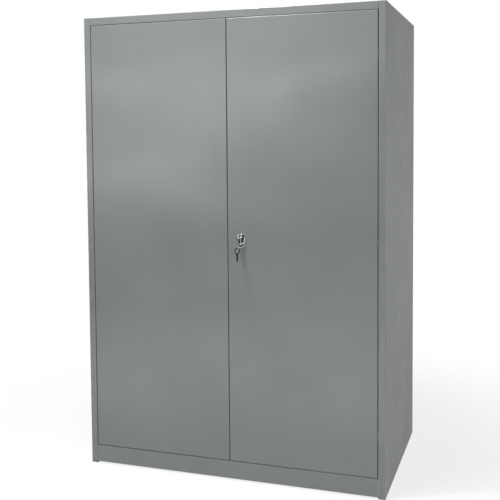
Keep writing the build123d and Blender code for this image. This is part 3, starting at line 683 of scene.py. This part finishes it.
class Aim(Enum):
    """Points of the cabinet that lamps face, in metres."""

    BEFORE_DOORS = (0.0, -0.5, 0.9)
    DOORS = (0.0, -0.38, 1.2)
    DOORS_LOW_RIGHT = (0.3, -0.38, 0.6)
    LEFT_SIDE = (-0.5, 0.2, 0.9)
    RIGHT_SIDE = (0.5, 0.2, 0.9)


@dataclass(frozen=True)
class SoftBox:
    """A rectangular studio lamp with white light.

    Attributes:
        name: lamp name.
        place: where it hangs, in metres.
        aim: what it faces.
        size: width and height in metres.
        power: in watts.
    """

    name: str
    place: Point
    aim: Aim
    size: tuple[float, float]
    power: float

    def build(self) -> None:
        """Hangs the lamp."""
        lamp = bpy.data.lights.new(self.name, "AREA")
        lamp.shape = "RECTANGLE"
        lamp.size, lamp.size_y = self.size
        lamp.energy = self.power
        hung = bpy.data.objects.new(self.name, lamp)
        hung.location = self.place
        facing = Vector(self.aim.value) - Vector(self.place)
        hung.rotation_euler = facing.to_track_quat("-Z", "Y").to_euler()
        bpy.context.scene.collection.objects.link(hung)
        log.info("lamp %s", self.name)


# two small lamps high above give the shadow of the lock, the windows give the bands on the doors
LAMPS = (
    SoftBox("overhead_left", (-0.42, -0.95, 3.6), Aim.BEFORE_DOORS, (0.25, 0.3), 82.0),
    SoftBox("overhead_middle", (-0.1, -1.1, 3.6), Aim.BEFORE_DOORS, (0.3, 0.45), 30.0),
    SoftBox("right_softbox", (2.4, -2.4, 1.0), Aim.DOORS_LOW_RIGHT, (1.0, 1.2), 15.0),
    SoftBox("rear_right_softbox", (3.4, 2.2, 1.0), Aim.RIGHT_SIDE, (1.6, 1.6), 55.0),
    SoftBox("rear_left_softbox", (-3.4, 2.2, 1.0), Aim.LEFT_SIDE, (1.6, 1.6), 55.0),
    SoftBox("window_top_left", (-1.684, -3.6, 1.715), Aim.DOORS, (1.814, 0.344), 9.3),
    SoftBox("window_top_right", (-0.538, -3.6, 1.782), Aim.DOORS, (0.859, 0.477), 3.65),
    SoftBox("window_low", (-1.827, -3.6, 1.085), Aim.DOORS, (1.146, 0.21), 6.74),
)


@dataclass(frozen=True)
class Studio:
    """A plain floor of white paper, white surroundings and soft lamps.

    To the camera both the floor and the world are white, but for a faint shadow round the cabinet.
    Its glossy sheets mirror something else: in front a dark room with a strip of bright paper on
    its floor, and from the sides and the back a grey backdrop. Sizes are in metres, and the
    brightness of white is 1.

    Attributes:
        floor_half: half the side of the floor.
        shade_radii: distance from the cabinet's middle at which its shadow starts to fade, and
            at which it is gone.
        shade_share: how much of the shadow the camera sees.
        paper: brightness of the strip as the doors mirror it.
        shaded: share of that brightness in the cabinet's painted shadow on the strip.
        paper_halves: half the width of the strip, where it starts to fade and where it is gone.
        paper_front: y where the strip starts to fade in, and where it is full.
        room: brightness of the dark room.
        backdrop: brightness of the backdrop.
        backdrop_floor: y on the floor where the room ends, and where the backdrop begins.
        backdrop_heading: y of the direction in which the room ends, and where the backdrop begins.
        ambient: brightness of the world for everything that isn't a mirror image.
        lamps: the lamps.
    """

    floor_half: float = 30.0
    shade_radii: tuple[float, float] = (0.8, 2.0)
    shade_share: float = 0.22
    paper: float = 1.36
    shaded: float = 0.35
    paper_halves: tuple[float, float] = (1.3, 2.08)
    paper_front: tuple[float, float] = (-4.66, -2.48)
    room: float = 0.05
    backdrop: float = 0.345
    backdrop_floor: tuple[float, float] = (-0.7, -0.2)
    backdrop_heading: tuple[float, float] = (0.1, 0.7)
    ambient: float = 0.2
    lamps: tuple[SoftBox, ...] = LAMPS

    def build(self) -> None:
        """Sets up the floor, the world and the lamps."""
        self.lay_floor()
        self.light_world()
        for lamp in self.lamps:
            lamp.build()

    def lay_floor(self) -> None:
        """Lays the floor and covers it with paper."""
        half = self.floor_half
        mesh = bpy.data.meshes.new("studio_floor")
        corners = [(-half, -half, 0), (half, -half, 0), (half, half, 0), (-half, half, 0)]
        mesh.from_pydata(corners, [], [(0, 1, 2, 3)])
        floor = bpy.data.objects.new("studio_floor", mesh)
        bpy.context.scene.collection.objects.link(floor)
        mesh.materials.append(self.floor_paper())

    def floor_paper(self) -> bpy.types.Material:
        """Makes paper that keeps the cabinet's shadow and turns into plain white further out.

        Returns:
            The floor's material.
        """
        paper = bpy.data.materials.new("studio_paper")
        paper.use_nodes = True
        tree = paper.node_tree
        tree.nodes.clear()
        place = add_node(tree, "TexCoord").outputs["Object"]
        away = add_node(tree, "VectorMath", {"operation": "LENGTH"}, {0: place})
        start, gone = self.shade_radii
        near = add_node(tree, "MapRange", {"From Min": start, "From Max": gone,
                                           "To Min": 1.0, "To Max": 0.0, **SMOOTH},
                        {"Value": away.outputs["Value"]})
        axes = add_node(tree, "SeparateXYZ", links={0: place})
        mirrored = self.mirrored_floor(tree, axes, near.outputs[0])
        path = add_node(tree, "LightPath")
        strength = add_node(tree, "Mix", {"data_type": "FLOAT", "A": 1.0},
                            {"Factor": path.outputs["Is Glossy Ray"], 3: mirrored})
        # to the camera the paper near the cabinet keeps a faint shadow
        share = add_node(tree, "Math", {"operation": "MULTIPLY"}, {0: path.outputs["Is Camera Ray"]})
        share.inputs[1].default_value = self.shade_share
        shade = add_node(tree, "Math", {"operation": "MULTIPLY"},
                         {0: near.outputs[0], 1: share.outputs[0]})
        plain = add_node(tree, "Math", {"operation": "SUBTRACT", "use_clamp": True},
                         {1: shade.outputs[0]})
        plain.inputs[0].default_value = 1.0
        seen = add_node(tree, "Math", {"operation": "MAXIMUM"},
                        {0: path.outputs["Is Camera Ray"], 1: path.outputs["Is Glossy Ray"]})
        amount = add_node(tree, "Math", {"operation": "MULTIPLY"},
                          {0: plain.outputs[0], 1: seen.outputs[0]})
        matt = add_node(tree, "BsdfDiffuse", {"Color": linear("#F2F2F2")})
        white = add_node(tree, "Emission", links={"Strength": strength.outputs[0]})
        mixed = add_node(tree, "MixShader",
                         links={0: amount.outputs[0], 1: matt.outputs[0], 2: white.outputs[0]})
        add_node(tree, "OutputMaterial", links={"Surface": mixed.outputs[0]})
        return paper

    def mirrored_floor(self, tree: bpy.types.NodeTree, axes: bpy.types.Node,
                       near: bpy.types.NodeSocket) -> bpy.types.NodeSocket:
        """Works out how bright the floor is in a mirror image.

        Args:
            tree: the floor's node tree.
            axes: the node that gives x, y and z on the floor.
            near: 1 in the cabinet's shadow and 0 outside it.

        Returns:
            The brightness.
        """
        aside = add_node(tree, "Math", {"operation": "ABSOLUTE"}, {0: axes.outputs[0]})
        start, gone = self.paper_halves
        width = add_node(tree, "MapRange", {"From Min": start, "From Max": gone,
                                            "To Min": 1.0, "To Max": 0.0, **SMOOTH},
                         {"Value": aside.outputs[0]})
        start, full = self.paper_front
        front = add_node(tree, "MapRange", {"From Min": start, "From Max": full, **SMOOTH},
                         {"Value": axes.outputs[1]})
        strip = add_node(tree, "Math", {"operation": "MULTIPLY"},
                         {0: width.outputs[0], 1: front.outputs[0]})
        # painted shadow: close to the doors the paper is dimmer in mirror images, where the cabinet
        # shades it
        clear = add_node(tree, "MapRange", {"To Min": 1.0, "To Max": self.shaded}, {"Value": near})
        open_strip = add_node(tree, "Math", {"operation": "MULTIPLY"},
                              {0: strip.outputs[0], 1: clear.outputs[0]})
        lit = add_node(tree, "Mix", {"data_type": "FLOAT", "A": self.room, "B": self.paper},
                       {"Factor": open_strip.outputs[0]})
        start, full = self.backdrop_floor
        rear = add_node(tree, "MapRange", {"From Min": start, "From Max": full, **SMOOTH},
                        {"Value": axes.outputs[1]})
        mirrored = add_node(tree, "Mix", {"data_type": "FLOAT", "B": self.backdrop},
                            {"Factor": rear.outputs[0], 2: lit.outputs[0]})
        return mirrored.outputs[0]

    def light_world(self) -> None:
        """Makes the world: white to the camera, a dark room and a backdrop in mirror images."""
        world = bpy.data.worlds.new("studio_world")
        world.use_nodes = True
        tree = world.node_tree
        tree.nodes.clear()
        path = add_node(tree, "LightPath")
        heading = add_node(tree, "SeparateXYZ",
                           links={0: add_node(tree, "TexCoord").outputs["Generated"]})
        start, full = self.backdrop_heading
        backdrop = add_node(tree, "MapRange", {"From Min": start, "From Max": full,
                                               "To Min": self.room, "To Max": self.backdrop,
                                               **SMOOTH},
                            {"Value": heading.outputs[1]})
        mirrored = add_node(tree, "Mix", {"data_type": "FLOAT", "A": self.ambient},
                            {"Factor": path.outputs["Is Glossy Ray"], 3: backdrop.outputs[0]})
        seen = add_node(tree, "Math", {"operation": "MAXIMUM"},
                        {0: path.outputs["Is Camera Ray"], 1: path.outputs["Is Transmission Ray"]})
        strength = add_node(tree, "Mix", {"data_type": "FLOAT"},
                            {"Factor": seen.outputs[0], 2: mirrored.outputs[0]})
        strength.inputs[3].default_value = 1.0
        sky = add_node(tree, "Background", {"Color": linear("#FFFFFF")},
                       {"Strength": strength.outputs[0]})
        add_node(tree, "OutputWorld", links={"Surface": sky.outputs[0]})
        bpy.context.scene.world = world


@dataclass
class ViewCamera:
    """The camera, by where it stands and where it looks.

    Attributes:
        place: in metres.
        yaw: degrees that it looks to the left of straight ahead.
        pitch: degrees that it looks down.
        roll: degrees that it leans.
        focal_px: focal length in pixels of the square frame.
        frame_px: side of that frame.
        shift: lens shift as a share of the frame, to the right and up.
        sensor_mm: width of the sensor.
    """

    place: Point = (1.1025, -3.4405, 1.346)
    yaw: float = 19.16
    pitch: float = 3.464
    roll: float = -0.498
    focal_px: float = 845.0
    frame_px: float = 500.0
    shift: tuple[float, float] = (0.026, -0.1233)
    sensor_mm: float = 36.0

    def build(self) -> None:
        """Puts the camera in place and makes it the scene's."""
        yaw, pitch, roll = (math.radians(angle) for angle in (self.yaw, self.pitch, self.roll))
        level_share = math.cos(pitch)
        ahead = Vector((-math.sin(yaw) * level_share, math.cos(yaw) * level_share, -math.sin(pitch)))
        level = ahead.cross(Vector((0, 0, 1))).normalized()
        upright = level.cross(ahead)
        right = level * math.cos(roll) + upright * math.sin(roll)
        up = upright * math.cos(roll) - level * math.sin(roll)
        lens = bpy.data.cameras.new("view_camera")
        lens.sensor_width = self.sensor_mm
        lens.lens = self.focal_px / self.frame_px * self.sensor_mm
        lens.shift_x, lens.shift_y = self.shift
        camera = bpy.data.objects.new("view_camera", lens)
        turned = Matrix((right, up, -ahead)).transposed().to_4x4()
        camera.matrix_world = Matrix.Translation(self.place) @ turned
        bpy.context.scene.collection.objects.link(camera)
        bpy.context.scene.camera = camera
        log.info("camera at %s", self.place)


def main() -> None:
    """Builds the scene, one sub-assembly after another."""
    logging.basicConfig(level=logging.INFO, format="%(name)s: %(message)s")
    bpy.context.scene.view_settings.view_transform = "Standard"
    for assembly in (Carcass(), Shelving(), Doors(), DoorLock(), Studio(), ViewCamera()):
        assembly.build()
        log.info("%s done", type(assembly).__name__)


if __name__ == "__main__":
    main()
